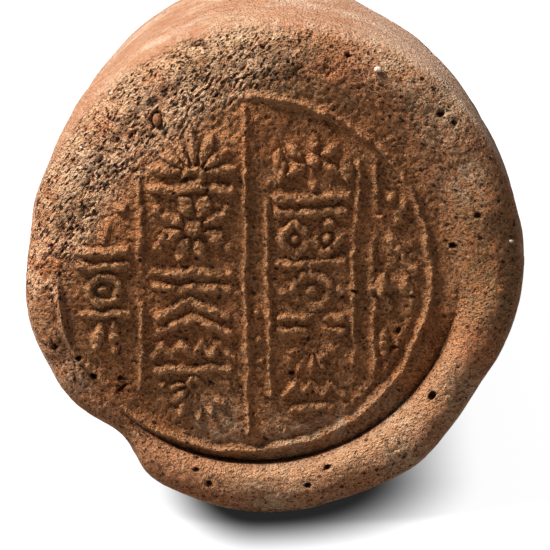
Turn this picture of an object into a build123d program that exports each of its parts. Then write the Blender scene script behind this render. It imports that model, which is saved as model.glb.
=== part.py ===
import os
from math import atan2, cos, degrees, exp, hypot, radians, sin, sqrt

from build123d import *

# Funerary cone in fired Nile silt, in millimetres, +Z up.
# It lies on the flat that it took while it dried, with its stamped broad end towards -Y.
# The origin is on that flat, at the cone's lowest generator.
# A coarse, chaff-tempered body holds a slab of finer clay, and the slab took the stamp.
# A station is a distance from the broad end along the axis. Angles turn from +X towards up.

# Body
cone_length = 180.0  # broad end to the point where the tapering curve would close
girth_radius = 40.0
swell_power = 1.84  # how late the taper sets in
taper_power = 0.88  # how bluntly it closes
tail_radius = 5.0  # where the curve gives way to the rounded tip
tail_round = 4.0
rim_round = 4.6
profile_points = 11

# Drying flat
flat_station = 58.0
flat_depth = 1.6

# Slab, and the tilt of the plane that was pressed into the broad end
slab_x = -2.6
slab_y = -0.1
slab_radius = 32.4
slab_thickness = 8.0
slab_chamfer = 0.4
smear_depth = 6.0  # how far the slab falls short on the side where its clay was smeared
smear_spread = 20.0
outline_points = 24
field_sink = 2.0  # the field's depth below the broad end, on the axis
press_tilt = 3.2  # the stamp went in deeper on one side
press_angle = -43.0
crease_gap = 0.5

# Rolled lip round the slab
flare_rise = 0.8  # above the field, where the lip starts to lean back
flare_width = 3.6
flare_height = 3.2

# Wear across the slab and the body, on the side where the field is nearly flush
worn_angle = 133.0
worn_start = 2.0
worn_lift = 1.7  # above the field, where the wear starts
worn_radius = 105.0
worn_sweep = 28.0

# Raised lines of the stamp
stamp_x = -4.6
stamp_y = -1.1
border_radius = 29.4
line_height = 0.7
line_foot = 1.1
line_crest = 0.4
rule_taper = 25.0
boss_radius = 1.7
boss_places = [(-8.6, 15.0), (-8.6, 0.0), (-8.6, -15.0), (10.2, 7.5), (10.2, -7.5), (-22.6, 0.0), (25.0, -1.0)]
rules = {  # distance of each upright line from the stamp's centre: its lower and upper end
    -17.0: (-17.5, 19.5),
    -0.3: (-27.0, 28.0),
    3.2: (-20.0, 11.5),
    17.2: (-14.5, 17.5),
    20.2: (-17.5, 8.5),
}

# Stones in the clay
pebble_size = (1.4, 2.0, 1.3)
pebble_angle = 123.7
pebble_gap = 2.3  # outside the slab's edge
stone_sink = 0.25
stone_clearance = 0.05
stone_bevel = 0.3  # of a stone's width
grit_width = 1.4  # of the largest grit
grit_shares = {  # angle: distance from the axis as a share of girth_radius, and width as a share of grit_width
    132.9: (0.959, 0.72),
    64.0: (0.912, 1.0),
    7.3: (0.943, 0.72),
    284.7: (0.936, 0.64),
    147.8: (0.916, 0.57),
}

# Marks of the maker's hands on the outline
palm_flats = {329.0: 1.7, 298.0: 1.0, 58.0: 0.5}  # angle: depth at the broad end
thumb_angle = 226.0
thumb_radius = 10.0
thumb_depth = 3.0

# Clear of the solid when cutting
spare = 8.0


def girth(station):
    """Mean radius at a station: a curve that leaves the broad end level and closes at cone_length."""
    share = min(max(station, 0.0) / cone_length, 1.0)
    return girth_radius * (1 - share**swell_power) ** taper_power


def turned(angle, other):
    """Shortest turn from one angle to another, in degrees."""
    return (angle - other + 180) % 360 - 180


def arc_drop(radius, past):
    """How far an arc has fallen away at a distance past its highest point."""
    return radius - sqrt(radius**2 - past**2) if past > 0 else 0.0


def tail_station():
    """Station where the curve has come in to tail_radius, which is where the clay ends."""
    return cone_length * (1 - (tail_radius / girth_radius) ** (1 / taper_power)) ** (1 / swell_power)


# The axis dips towards the tail by the curve's own slope over the flat, so that the flat is level.
lie_angle = degrees(atan2(girth(flat_station - 1) - girth(flat_station + 1), 2))
dip = sin(radians(lie_angle))
run = cos(radians(lie_angle))
face_height = flat_station * dip + girth(flat_station) * run - flat_depth
face_setback = flat_station * run - girth(flat_station) * dip

face = Plane(origin=(0, -face_setback, face_height), x_dir=(1, 0, 0), z_dir=(0, -run, dip))

press_x = sin(radians(press_tilt)) * cos(radians(press_angle))
press_y = sin(radians(press_tilt)) * sin(radians(press_angle))
press_normal = face.x_dir * press_x + face.y_dir * press_y + face.z_dir * cos(radians(press_tilt))
field = Plane(
    origin=face.from_local_coords((0, 0, -field_sink)),
    x_dir=face.x_dir - press_normal * face.x_dir.dot(press_normal),
    z_dir=press_normal,
)
slab_seat = field.offset(-slab_thickness)


def upright(ground, x, y, angle):
    """Plane square to ground at a place on it, its x towards angle and its y out of ground."""
    turn = radians(angle)
    return Plane(
        origin=ground.from_local_coords((x, y, 0)),
        x_dir=ground.x_dir * cos(turn) + ground.y_dir * sin(turn),
        z_dir=ground.x_dir * sin(turn) - ground.y_dir * cos(turn),
    )


def clay_depth(x, y):
    """Depth of the body's front below the broad end's plane, over its rounded rim and its worn side."""
    rim = arc_drop(rim_round, hypot(x, y) - (girth_radius - rim_round))
    past = x * cos(radians(worn_angle)) + y * sin(radians(worn_angle)) - worn_start
    if past < 0:
        return rim
    field_depth = field_sink + x * press_x + y * press_y
    return max(rim, field_depth + arc_drop(worn_radius, past) - worn_lift)


def stone_plane(x, y):
    """Plane of a stone that sits in the body's front, square to the broad end."""
    origin = face.from_local_coords((x, y, -clay_depth(x, y) - stone_sink))
    return Plane(origin=origin, x_dir=face.x_dir, z_dir=face.z_dir)


def polar(angle, reach_share):
    """Place on the broad end at an angle, its distance from the axis a share of girth_radius."""
    reach = girth_radius * reach_share
    return reach * cos(radians(angle)), reach * sin(radians(angle))


def slab_place(angle, grow):
    """Place a distance outside the slab's edge, which is flatter on the side where its clay was smeared."""
    across = turned(angle, worn_angle) / smear_spread
    radius = slab_radius + grow - smear_depth * exp(-(across**2) / 2)
    return slab_x + radius * cos(radians(angle)), slab_y + radius * sin(radians(angle))


def slab_outline(grow):
    """Places round the slab's edge, for one closed curve."""
    return [slab_place(360 * step / outline_points, grow) for step in range(outline_points)]


def flank_places():
    """Places on the taper's profile, from the rim's foot to the rounded tip."""
    last = tail_station() - tail_round
    step = (last - rim_round) / (profile_points - 1)
    stations = [rim_round + step * count for count in range(profile_points)]
    return [(girth(station), -station) for station in stations]


pebble_plane = stone_plane(*slab_place(pebble_angle, pebble_gap))
grit_blocks = [
    (stone_plane(*polar(angle, reach_share)), grit_width * width_share)
    for angle, (reach_share, width_share) in grit_shares.items()
]

# Everything above one shallow curve on the worn side, taken off both the body and the slab.
with BuildPart(mode=Mode.PRIVATE) as wear:
    with BuildSketch(upright(field, 0, 0, worn_angle)):
        with BuildLine():
            curve = CenterArc((worn_start, worn_lift - worn_radius), worn_radius, 90, -worn_sweep)
            Polyline(curve @ 1, ((curve @ 1).X, spare), (worn_start, spare), curve @ 0)
        make_face()
    extrude(amount=2 * girth_radius, both=True)

# Coarse body: the long taper with its rolled lip, the seat for the slab and the drying flat.
with BuildPart() as cone_body:
    with BuildSketch(upright(face, 0, 0, 0)):
        with BuildLine():
            corner = girth_radius - rim_round
            half_turn = rim_round * sin(radians(45))
            flank = flank_places()
            tip = (tail_radius - tail_round, -tail_station())
            Polyline(tip, (0, tip[1]), (0, 0), (corner, 0))
            ThreePointArc((corner, 0), (corner + half_turn, half_turn - rim_round), flank[0])
            Polyline(*flank)
            RadiusArc(flank[-1], tip, tail_radius)
        make_face()
    revolve(axis=Axis(face.origin, face.z_dir))

    # palm and thumb
    for angle, depth in palm_flats.items():
        with BuildSketch(upright(face, 0, 0, angle)):
            with Locations((girth_radius - depth, 0)):
                Rectangle(spare, cone_length, align=(Align.MIN, Align.CENTER))
        extrude(amount=girth_radius, both=True, mode=Mode.SUBTRACT)
    with BuildSketch(face):
        with PolarLocations(girth_radius - thumb_depth + thumb_radius, 1, start_angle=thumb_angle):
            Circle(thumb_radius)
    extrude(amount=cone_length, both=True, mode=Mode.SUBTRACT)

    # seat of the slab, open at the front
    with BuildSketch(slab_seat):
        with BuildLine():
            Spline(*slab_outline(crease_gap), periodic=True)
        make_face()
    extrude(amount=slab_thickness + spare, mode=Mode.SUBTRACT)

    # the lip leans back from the seat
    mouth = upright(field, slab_x, slab_y, 0)
    with BuildSketch(mouth):
        with BuildLine():
            foot = (slab_radius, flare_rise)
            crest = (slab_radius + flare_width, flare_rise + flare_height)
            RadiusArc(foot, crest, flare_width + flare_height)
            Polyline(crest, (crest[0], spare), (0, spare), (0, flare_rise), foot)
        make_face()
    revolve(axis=Axis(mouth.origin, field.z_dir), mode=Mode.SUBTRACT)
    add(wear.part, mode=Mode.SUBTRACT)

    # drying flat
    split(bisect_by=Plane.XY, keep=Keep.TOP)

    # sockets of the stones
    with Locations(pebble_plane):
        Box(*[size + 2 * stone_clearance for size in pebble_size], mode=Mode.SUBTRACT)
    for place, width in grit_blocks:
        with Locations(place):
            Box(*[width + 2 * stone_clearance] * 3, mode=Mode.SUBTRACT)
cone_body.part.label = "cone_body"

# Slab of finer clay with the raised lines that the stamp left.
with BuildPart() as face_slab:
    with BuildSketch(slab_seat):
        with BuildLine():
            Spline(*slab_outline(0), periodic=True)
        make_face()
    extrude(amount=slab_thickness)
    chamfer(face_slab.faces().sort_by(Axis(field.origin, field.z_dir))[-1].edges(), slab_chamfer)

    # border line
    border = upright(field, stamp_x, stamp_y, 0)
    with BuildSketch(border):
        with BuildLine():
            Polyline(
                (border_radius - line_foot / 2, -line_height),
                (border_radius - line_foot / 2, 0),
                (border_radius - line_crest / 2, line_height),
                (border_radius + line_crest / 2, line_height),
                (border_radius + line_foot / 2, 0),
                (border_radius + line_foot / 2, -line_height),
                close=True,
            )
        make_face()
    revolve(axis=Axis(border.origin, field.z_dir))

    # upright lines between the columns, and bosses in them
    with BuildSketch(field):
        for x, (low, high) in rules.items():
            with Locations((stamp_x + x, stamp_y + (low + high) / 2)):
                Rectangle(line_foot, high - low)
        with Locations(*[(stamp_x + x, stamp_y + y) for x, y in boss_places]):
            Circle(boss_radius)
    extrude(amount=line_height, taper=rule_taper)
    add(wear.part, mode=Mode.SUBTRACT)
face_slab.part.label = "face_slab"

# One dark pebble, and the pale lime grits.
with BuildPart() as dark_pebble:
    with Locations(pebble_plane):
        Box(*pebble_size)
    chamfer(dark_pebble.edges(), stone_bevel * min(pebble_size))
dark_pebble.part.label = "dark_pebble"

with BuildPart() as lime_grits:
    for place, width in grit_blocks:
        with Locations(place):
            Box(width, width, width)
    chamfer(lime_grits.edges(), stone_bevel * min(width for _, width in grit_blocks))
lime_grits.part.label = "lime_grits"

os.makedirs("parts", exist_ok=True)
for piece in (cone_body, face_slab, dark_pebble, lime_grits):
    export_step(piece.part, f"parts/{piece.part.label}.step")
    box = piece.part.bounding_box()
    print(piece.part.label, len(piece.solids()), round(piece.part.volume, 1), box.min, box.max)
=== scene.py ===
import bpy
import numpy as np
from mathutils import Euler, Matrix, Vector


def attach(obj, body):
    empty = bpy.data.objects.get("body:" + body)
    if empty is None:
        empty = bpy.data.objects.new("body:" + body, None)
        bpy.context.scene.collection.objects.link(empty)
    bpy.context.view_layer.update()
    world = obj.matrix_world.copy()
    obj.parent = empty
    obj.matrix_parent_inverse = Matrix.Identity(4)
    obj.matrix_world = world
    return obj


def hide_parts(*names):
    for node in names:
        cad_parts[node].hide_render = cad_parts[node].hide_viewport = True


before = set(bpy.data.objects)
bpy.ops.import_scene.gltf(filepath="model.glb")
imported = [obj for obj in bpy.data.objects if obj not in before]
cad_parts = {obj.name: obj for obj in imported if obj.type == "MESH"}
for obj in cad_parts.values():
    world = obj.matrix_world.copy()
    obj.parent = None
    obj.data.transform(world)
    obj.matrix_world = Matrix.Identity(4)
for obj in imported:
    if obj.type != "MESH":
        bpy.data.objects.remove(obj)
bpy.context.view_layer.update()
print("solids loaded")

mm = 0.001

# The cone's own measures, in millimetres and degrees, as the solids have them
cone = {
    "length": 180.0, "girth": 40.0, "swell": 1.84, "taper": 0.88,
    "tailRadius": 5.0, "tailRound": 4.0, "rimRound": 4.6,
    "flatStation": 58.0, "flatDepth": 1.6,
    "slabX": -2.6, "slabY": -0.1, "slabRadius": 32.4, "slabThick": 8.0,
    "smearDepth": 6.0, "smearSpread": 20.0,
    "fieldSink": 2.0, "pressTilt": 3.2, "pressAngle": -43.0,
    "wornAngle": 133.0, "wornStart": 2.0, "wornLift": 1.7, "wornRadius": 105.0,
    "stampX": -4.6, "stampY": -1.1, "borderRadius": 29.4,
}


def girth(s):
    # radius at station s: full at the broad end, closing at the length by two powers
    share = np.clip(s / cone["length"], 0.0, 1.0)
    return cone["girth"] * (1 - share ** cone["swell"]) ** cone["taper"]


slope = (girth(cone["flatStation"] - 1) - girth(cone["flatStation"] + 1)) / 2
lie = np.arctan(slope)  # the axis dips by this, so that the drying flat is level
dip, run = np.sin(lie), np.cos(lie)
faceHeight = cone["flatStation"] * dip + girth(cone["flatStation"]) * run - cone["flatDepth"]
faceSetback = cone["flatStation"] * run - girth(cone["flatStation"]) * dip
tailStation = cone["length"] * (1 - (cone["tailRadius"] / cone["girth"]) ** (1 / cone["taper"])) ** (1 / cone["swell"])


def toFrame(x, y, d):
    # x and y across the broad end, d along the axis into the cone, turned into the shared frame in metres
    return np.stack([x, -faceSetback + y * dip + d * run, faceHeight + y * run - d * dip], axis=-1) * mm


# ---- numbers that repeat the same each run ----


def scatter(ix, iy, iz, seed):
    # one number from 0 to 1 for each whole-numbered cell, by multiplying and folding bits
    n = (ix * 374761393 + iy * 668265263 + iz * 2147483647 + seed * 1274126177) & 0xFFFFFFFF
    n = ((n ^ (n >> 13)) * 1274126177) & 0xFFFFFFFF
    n = ((n ^ (n >> 16)) * 2246822519) & 0xFFFFFFFF
    return ((n ^ (n >> 15)) & 0xFFFFFF) / float(0xFFFFFF)


def softNoise(p, cell, seed=0):
    # cell corners hold random values, and each point blends its eight corners smoothly: -1 to 1
    q = p / cell
    base = np.floor(q).astype(np.int64)
    f = q - base
    f = f * f * f * (f * (f * 6 - 15) + 10)
    total = 0.0
    for dx in (0, 1):
        wx = f[..., 0] if dx else 1 - f[..., 0]
        for dy in (0, 1):
            wy = f[..., 1] if dy else 1 - f[..., 1]
            for dz in (0, 1):
                wz = f[..., 2] if dz else 1 - f[..., 2]
                total = total + wx * wy * wz * scatter(base[..., 0] + dx, base[..., 1] + dy, base[..., 2] + dz, seed)
    return total * 2 - 1


def pits(p, cell, share, seed=0, low=0.25, high=0.5):
    # one round hollow in some of the cells: 0 outside it, 1 at its bottom, by distance to its centre
    q = p / cell
    base = np.floor(q).astype(np.int64)
    deepest = np.zeros(q.shape[:-1])
    for dx in (-1, 0, 1):
        for dy in (-1, 0, 1):
            for dz in (-1, 0, 1):
                cx, cy, cz = base[..., 0] + dx, base[..., 1] + dy, base[..., 2] + dz
                size = low + (high - low) * scatter(cx, cy, cz, seed + 3)
                there = scatter(cx, cy, cz, seed + 4) < share
                gap = np.sqrt((q[..., 0] - cx - scatter(cx, cy, cz, seed)) ** 2
                              + (q[..., 1] - cy - scatter(cx, cy, cz, seed + 1)) ** 2
                              + (q[..., 2] - cz - scatter(cx, cy, cz, seed + 2)) ** 2)
                bowl = np.clip(1 - (gap / size) ** 2, 0, 1) * there
                deepest = np.maximum(deepest, bowl)
    return deepest


def turned(a, b):
    return (a - b + 180.0) % 360.0 - 180.0  # shortest turn from b to a, in degrees


def hill(a, centre, spread):
    return np.exp(-(turned(a, centre) / spread) ** 2 / 2)  # bell over angles


def rise(a, low, high):
    t = np.clip((a - low) / (high - low), 0, 1)  # 0 below low, 1 above high, smooth between
    return t * t * (3 - 2 * t)


def softMax(a, b, k):
    return 0.5 * (a + b + np.sqrt((a - b) ** 2 + k * k))


# ---- the broad end ----


def slabOutline(angle):
    # round, and short by a bell on the smeared side
    return cone["slabRadius"] - cone["smearDepth"] * hill(angle, cone["wornAngle"], cone["smearSpread"])


pressX = np.sin(np.radians(cone["pressTilt"])) * np.cos(np.radians(cone["pressAngle"]))
pressY = np.sin(np.radians(cone["pressTilt"])) * np.sin(np.radians(cone["pressAngle"]))
pressZ = np.cos(np.radians(cone["pressTilt"]))


def fieldDepth(x, y):
    return cone["fieldSink"] + (x * pressX + y * pressY) / pressZ  # the tilted plane of the stamp


def wornDepth(x, y):
    # an arc that starts above the field and sinks below it towards the worn side
    toward = x * np.cos(np.radians(cone["wornAngle"])) + y * np.sin(np.radians(cone["wornAngle"]))
    past = np.clip(toward - cone["wornStart"], 0, cone["wornRadius"] * 0.9)
    drop = cone["wornRadius"] - np.sqrt(cone["wornRadius"] ** 2 - past ** 2)
    return fieldDepth(x, y) + drop - cone["wornLift"] - 3.0 * (1 - rise(toward, cone["wornStart"] - 12, cone["wornStart"]))


# Outline of the hand-made cone, its dents and swellings: angle, height, spread, station where it is fullest, reach
outline = {
    "pinch": (227.5, -2.6, 6.2, 0.0, 24.0),
    "heel": (211.0, -0.3, 8.0, 0.0, 34.0),
    "leftLow": (192.0, 0.6, 12.0, 4.0, 36.0),
    "lowLeft": (252.0, 0.4, 14.0, 0.0, 40.0),
    "bottom": (268.0, 1.15, 10.0, 3.0, 30.0),
    "rightLow": (307.0, 0.6, 8.0, 0.0, 30.0),
    "lipLeft": (240.0, 0.5, 6.0, 0.0, 24.0),
    "right": (327.0, -1.6, 15.0, 0.0, 42.0),
    "rightUp": (14.0, -0.25, 12.0, 6.0, 40.0),
    "upperLeft": (176.0, -0.35, 7.0, 6.0, 20.0),
    "leftShoulder": (140.0, -0.45, 18.0, 30.0, 34.0),
    "farLeft": (118.0, 0.5, 16.0, 66.0, 24.0),
    "topDent": (64.0, -0.7, 18.0, 62.0, 34.0),
    "topRight": (38.0, 0.25, 16.0, 44.0, 26.0),
    "tailFlat": (20.0, -0.5, 34.0, 128.0, 24.0),
}


def bodyRadius(angle, s):
    total = girth(s)
    for centre, height, spread, fullest, reach in outline.values():
        total = total + height * hill(angle, centre, spread) * np.exp(-((s - fullest) / reach) ** 2)
    return total


def rimRound(angle):
    # rounder where it is worn, sharper where the lip was pinched
    return cone["rimRound"] + 2.4 * hill(angle, 128.0, 42.0) - 2.0 * hill(angle, 217.0, 24.0)


def jointShare(angle):
    # 1 along the side where the lip rolled over the slab, 0 where the two clays were smeared together
    return 1 - rise(np.abs(turned(angle, 271.0)), 62.0, 88.0)


def openShare(angle):
    # the crease stands open along the bottom and right, and is pressed shut at the left
    return rise(turned(angle, 271.0), -44.0, -15.0)


def creaseWidth(angle):
    return jointShare(angle) * openShare(angle) * (0.08 + 0.16 * hill(angle, 258.0, 24.0))


def aboutSlab(x, y):
    # how far outside the slab's edge a place is, and its angle round the slab
    angle = np.degrees(np.arctan2(y - cone["slabY"], x - cone["slabX"])) % 360
    return np.hypot(x - cone["slabX"], y - cone["slabY"]) - slabOutline(angle), angle


front = {
    "lipHeight": 3.4, "lipSteep": 1.3, "lipSlope": 0.3, "lipStart": 0.2,
    "shoulderFrom": -4.5, "shoulderTo": 7.0, "edgeDrop": 1.2, "edgeRoll": 0.9,
}


def frontDepth(x, y):
    # the field, and outside it either the steep lip or a gentle shoulder, by the joint's share at that angle
    q, angle = aboutSlab(x, y)
    joint = jointShare(angle)
    field = fieldDepth(x, y)
    out = np.clip(q, 0, None)
    lip = front["lipHeight"] * (1 - np.exp(-out / front["lipSteep"])) + front["lipSlope"] * out + front["lipStart"]
    lip = lip * (0.12 + 0.88 * openShare(angle))
    shoulder = (field + 0.3) * rise(q, front["shoulderFrom"], front["shoulderTo"])
    dropped = front["edgeDrop"] * openShare(angle) * np.exp(np.clip(q, None, 0) / front["edgeRoll"])
    climb = np.where(q > 0, joint * lip, -joint * dropped) + (1 - joint) * shoulder
    return field - climb


def levelled(x, y, depth):
    # nothing stands above the broad end's plane or above the worn arc
    return softMax(softMax(depth, 0.0, 0.7), wornDepth(x, y), 0.5)


def ringGapAt(x, y, p):
    # distance outside the stamp's ring, which the hand pressed out of round; it stands wider at the left
    shift = 0.35 * np.stack([softNoise(p, 3.2, 81), softNoise(p, 3.2, 82)], -1)
    shift += 0.4 * np.stack([softNoise(p, 13.0, 83), softNoise(p, 13.0, 84)], -1)
    px, py = x - cone["stampX"] + shift[..., 0], y - cone["stampY"] + shift[..., 1]
    angle = np.degrees(np.arctan2(py, px)) % 360
    wider = 1.4 * (1 - rise(angle, 198.0, 216.0)) * rise(angle, 120.0, 180.0) - 0.4 * hill(angle, 222.0, 8.0)
    return px, py, np.hypot(px, py) - cone["borderRadius"] - wider


def ridged(distance, half):
    return np.clip(1 - np.abs(distance) / half, 0, 1) ** 0.85  # a roof with a sharp crest, 0 past its half width


# ---- clay surface ----


clayGrain = {
    "chaffAngle": 50.0,  # lie of the burnt-out chaff on the worn shoulder
    "chaffLong": 2.0, "chaffWide": 0.6,
    "crumbs": ((3.4, 0.34), (1.5, 0.26), (0.75, 0.26)),  # cell size and height
    "chaffDepth": 0.42, "pitDepth": 0.55, "fieldHeight": 0.26, "fieldPit": 0.42,
}


def crumbly(p, cell, seed):
    # rounded lumps parted by sharp creases, where soft noise passes through nought
    return np.sqrt(np.abs(softNoise(p, cell, seed))) - 0.55


def chaffSpace(p, angle, long, wide):
    # face coordinates turned to the chaff's lie and squeezed along it
    c, s = np.cos(np.radians(angle)), np.sin(np.radians(angle))
    along = (p[..., 0] * c + p[..., 1] * s) / long
    across = (-p[..., 0] * s + p[..., 1] * c) / wide
    return np.stack([along, across, p[..., 2] / wide], axis=-1)


def clayHeight(p, rough, chaff, fine):
    # crumbs of three sizes, long voids along the chaff's lie and round pits, each scaled by its share
    g = clayGrain
    bend = p + 0.4 * np.stack([softNoise(p, 1.9, k) for k in (21, 22, 23)], axis=-1)
    lumps = sum(height * crumbly(bend, cell, 10 + k) for k, (cell, height) in enumerate(g["crumbs"]))
    lumps = lumps + 0.3 * softNoise(p, 5.0, 14)
    long = pits(chaffSpace(bend, g["chaffAngle"], g["chaffLong"], g["chaffWide"]), 1.0, 0.5, 31, 0.22, 0.5)
    short = pits(chaffSpace(bend, g["chaffAngle"] + 18, 1.1, 0.5), 1.0, 0.6, 35, 0.25, 0.55)
    fibre = pits(chaffSpace(bend, g["chaffAngle"] - 62, 1.5, 0.45), 1.0, 0.45, 37, 0.25, 0.55)
    holes = pits(bend, 2.2, 0.3, 41, 0.12, 0.24)
    small = pits(bend, 1.05, 0.6, 51, 0.16, 0.4)
    height = rough * lumps * 0.75
    height = height - g["chaffDepth"] * chaff * (long ** 0.7 + 0.45 * short ** 0.7)
    height = height - g["pitDepth"] * rough * (holes + 0.45 * small)
    soft = 0.5 * softNoise(p, 3.0, 61) + 0.5 * softNoise(p, 1.4, 62) + 0.5 * softNoise(p, 0.7, 63)
    height = height + fine * (g["fieldHeight"] * soft - g["fieldPit"] * (0.5 * small + 0.9 * holes + 0.35 * fibre + 0.3 * short))
    # the hollow share: how deep in a void, crease or pit each place lies, which the finish paints dark as painted shade
    crevice = np.clip(-(lumps + 0.1) * 2.0, 0, 1)
    hollow = chaff * (long + 0.6 * short) + (rough + 0.5 * fine) * (holes + 0.6 * small) + 0.7 * rough * crevice
    hollow = hollow + fine * 0.35 * (fibre + short)
    return height, np.clip(hollow, 0, 1.2)


def shares(x, y, p):
    # how rough, how chaffy and how coarse the clay is at a place on the front
    q, angle = aboutSlab(x, y)
    joint = jointShare(angle)
    drift = 2.6 * softNoise(p, 8.0, 201) + 1.2 * softNoise(p, 3.0, 202)
    toward = x * np.cos(np.radians(cone["wornAngle"])) + y * np.sin(np.radians(cone["wornAngle"]))
    worn = rise(toward + drift, 20.5, 27.5)
    coarse = joint * (q > 0) + (1 - joint) * rise(q + 0.5 * drift, -3.0, 1.5)
    band = joint * openShare(angle) * rise(q, 0, 0.6) * (1 - rise(q, 2.6, 5.5))  # wiped smooth along the lip
    top = hill(angle, 82.0, 40.0) * rise(q, -3, 2)
    left = hill(angle, 190.0, 30.0) * rise(q, -2, 1)
    rough = 0.16 + 0.38 * coarse + 0.38 * worn + 0.45 * top + 0.3 * left
    rough = rough * (1 - 0.3 * band)
    chaff = np.clip(worn + 0.6 * top * coarse + 0.4 * left, 0, 1)
    return np.clip(rough, 0, 1.05), chaff, np.maximum(coarse, worn), band, worn


def dents(p):
    return 0.5 * softNoise(p, 11.0, 1) + 0.3 * softNoise(p, 5.0, 2)  # unevenness left by hands


# Single voids of the photo, across the broad end: x, y, half length, half width, lie, depth
voidPlaces = [
    (-35.7, -12.6, 0.55, 0.5, 0, 1.3), (-31.7, -14.4, 0.5, 0.45, 0, 1.2), (-29.3, -17.5, 0.6, 0.5, 0, 1.4),
    (-25.1, -17.9, 0.45, 0.4, 0, 1.0), (-24.8, -19.6, 1.15, 0.3, 40, 0.9), (-10.9, -35.1, 0.5, 0.45, 0, 1.2),
    (-13.0, -32.8, 0.4, 0.35, 0, 0.9), (8.2, -32.6, 0.55, 0.4, 20, 1.3), (5.0, -35.4, 0.5, 0.4, 0, 1.2),
    (2.4, -17.4, 0.55, 0.4, 0, 1.0), (12.5, -3.9, 0.5, 0.35, -20, 1.0), (26.1, 25.6, 0.6, 0.45, 0, 1.3),
    (28.2, 24.2, 0.5, 0.4, 0, 1.1), (32.0, 9.1, 0.5, 0.45, 0, 1.1), (28.2, 3.6, 0.6, 0.45, 0, 1.2),
    (24.9, -20.9, 0.75, 0.5, 60, 1.5), (-5.4, 36.1, 0.45, 0.4, 0, 1.1), (-2.2, 36.3, 0.5, 0.4, 0, 1.2),
    (11.4, 35.1, 0.5, 0.4, 0, 1.1), (-12.4, 36.3, 1.9, 0.3, 4, 1.1), (-14.4, 15.0, 0.7, 0.4, 30, 1.0),
    (-11.0, 13.2, 0.5, 0.35, 20, 0.9), (19.6, -10.6, 0.6, 0.45, 70, 0.9), (18.9, -13.4, 0.7, 0.35, 0, 0.9),
]


pebblePlace, pebbleHalf = (-18.9, 24.3), (0.68, 0.98)


def singleVoids(x, y):
    # the deepest of the listed hollows at each place, each an ellipse with a flat bottom, and a moat round the pebble
    ring = np.hypot((x - pebblePlace[0]) / pebbleHalf[0], (y - pebblePlace[1]) / pebbleHalf[1])
    depth = 0.75 * np.exp(-((ring - 1.2) / 0.3) ** 2)
    for cx, cy, long, wide, lieAngle, deep in voidPlaces:
        near = (np.abs(x - cx) < 3) & (np.abs(y - cy) < 3)
        if not near.any():
            continue
        c, s = np.cos(np.radians(lieAngle)), np.sin(np.radians(lieAngle))
        u = ((x[near] - cx) * c + (y[near] - cy) * s) / long
        v = (-(x[near] - cx) * s + (y[near] - cy) * c) / wide
        depth[near] = np.maximum(depth[near], deep * np.clip(1.25 - (u * u + v * v), 0, 1) ** 0.6)
    return depth


# Stained and dusty places: x, y, radius across the broad end; the olive places on the right rim, at x 33 to 37, are
# painted shade there, the rest are stains and dust
stains = {
    "olive": [(-10.6, 32.6, 5.0), (-2.5, 35.0, 5.0), (-33.0, 9.0, 4.0), (-30.5, -2.0, 4.0), (24.0, 27.0, 5.0),
              (34.5, 3.0, 6.5), (33.5, -5.0, 5.5), (33.0, 11.0, 5.0), (5.0, 34.0, 4.0), (37.0, 5.0, 5.0), (36.0, -8.0, 5.0), (2.0, 31.5, 4.0), (10.0, 30.5, 4.0)],
    "ruddy": [(-25.0, 25.0, 3.4), (-37.0, 2.0, 5.0), (-16.0, -36.0, 6.0), (32.0, -12.0, 4.0), (10.0, 33.0, 4.0), (-20.0, 30.0, 3.0)],
    "dusty": [(30.4, 15.2, 3.2), (31.5, -21.5, 4.6), (20.0, -31.0, 4.0), (-9.0, -26.0, 4.0), (2.0, -28.5, 4.0), (10.0, -27.5, 4.0), (18.0, -24.0, 3.5), (-0.6, -37.6, 4.6), (28.0, 27.0, 6.0), (-23.0, 29.0, 4.0),
              (-31.0, 16.0, 4.0), (-6.0, 38.0, 5.0), (19.0, 35.0, 5.0), (-15.0, 27.0, 3.0), (-33.0, -18.0, 3.5)],
}


def stainAt(kind, x, y, p):
    # bells about the listed places, their edges broken up by soft noise
    drift = 1 + 0.5 * softNoise(p, 3.4, 301) + 0.35 * softNoise(p, 1.3, 302)
    total = sum(np.exp(-((x - cx) ** 2 + (y - cy) ** 2) / (radius * radius)) for cx, cy, radius in stains[kind])
    return np.clip(total * drift, 0, 1)


# ---- meshes ----


def newPiece(name, points, faces, values, flat=None):
    # points in metres, faces as arrays of four or three corners, values as one number per point;
    # a face whose corners are all marked flat is shaded flat, so that the visible edge beside it stays clean
    mesh = bpy.data.meshes.new(name)
    counts = np.concatenate([np.full(len(f), f.shape[1]) for f in faces])
    corners = np.concatenate([f.ravel() for f in faces])
    mesh.vertices.add(len(points))
    mesh.vertices.foreach_set("co", points.astype(np.float32).ravel())
    mesh.loops.add(len(corners))
    mesh.loops.foreach_set("vertex_index", corners.astype(np.int32))
    mesh.polygons.add(len(counts))
    mesh.polygons.foreach_set("loop_start", (np.cumsum(counts) - counts).astype(np.int32))
    smooth = np.ones(len(counts), dtype=bool)
    if flat is not None:
        smooth = np.concatenate([~np.all(flat[f] > 0.5, axis=1) for f in faces])
    mesh.polygons.foreach_set("use_smooth", smooth)
    mesh.update(calc_edges=True)
    mesh.validate()
    for key, value in values.items():
        layer = mesh.attributes.new(key, "FLOAT", "POINT")
        layer.data.foreach_set("value", value.astype(np.float32))
    piece = bpy.data.objects.new(name, mesh)
    bpy.context.scene.collection.objects.link(piece)
    print(name, "triangles", int((counts - 2).sum()))
    return piece


def sewRings(first, second):
    # quads between two rings of the same count, or triangles from a ring to one of half the count
    a, b = first, second
    if len(a) == len(b):
        return np.stack([a, np.roll(a, -1), np.roll(b, -1), b], axis=1)
    even, odd, following = a[0::2], a[1::2], np.roll(a, -2)[0::2]
    after = np.roll(b, -1)
    return np.concatenate([np.stack([even, odd, b], 1), np.stack([odd, after, b], 1), np.stack([odd, following, after], 1)])


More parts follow.
